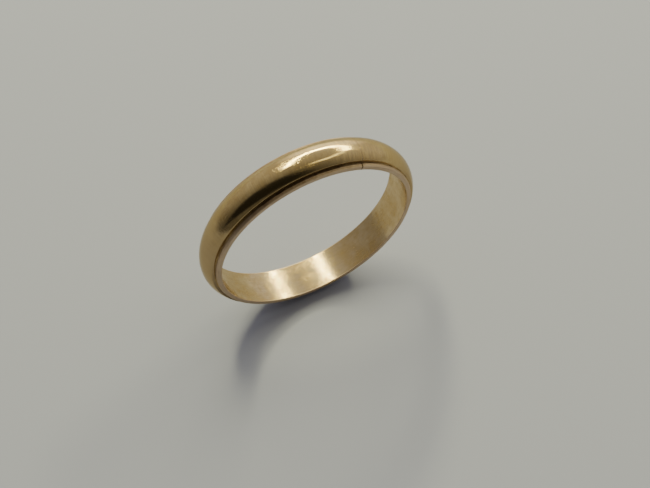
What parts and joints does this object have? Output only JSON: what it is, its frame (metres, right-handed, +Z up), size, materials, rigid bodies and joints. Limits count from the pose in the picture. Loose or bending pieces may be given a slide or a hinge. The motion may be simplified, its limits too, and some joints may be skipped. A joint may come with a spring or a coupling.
{
  "type": "wedding band",
  "caption": "Half-round finger ring: a domed outer band soldered on a wider flat inner sleeve with sloped ledges, closed by a butt seam.",
  "frame": {"origin": "centre of the finger bore, on the band's mid-plane", "axes": "+Y along the finger bore, +Z up, with the band standing on its edge; the seam is 63 degrees up from +X towards +Z"},
  "size_m": [0.0216, 0.0036, 0.0216],
  "materials": {
    "dome_gold": "worn satin polish",
    "sleeve_gold": "worn satin polish",
    "gold_solder": "slightly duller than the bands"
  },
  "bodies": {
    "root": {"finger_sleeve": "sleeve_gold", "dome_band": "dome_gold", "solder_layer": "gold_solder", "sleeve_seam_solder": "gold_solder", "dome_seam_solder": "gold_solder"}
  },
  "joints": []
}
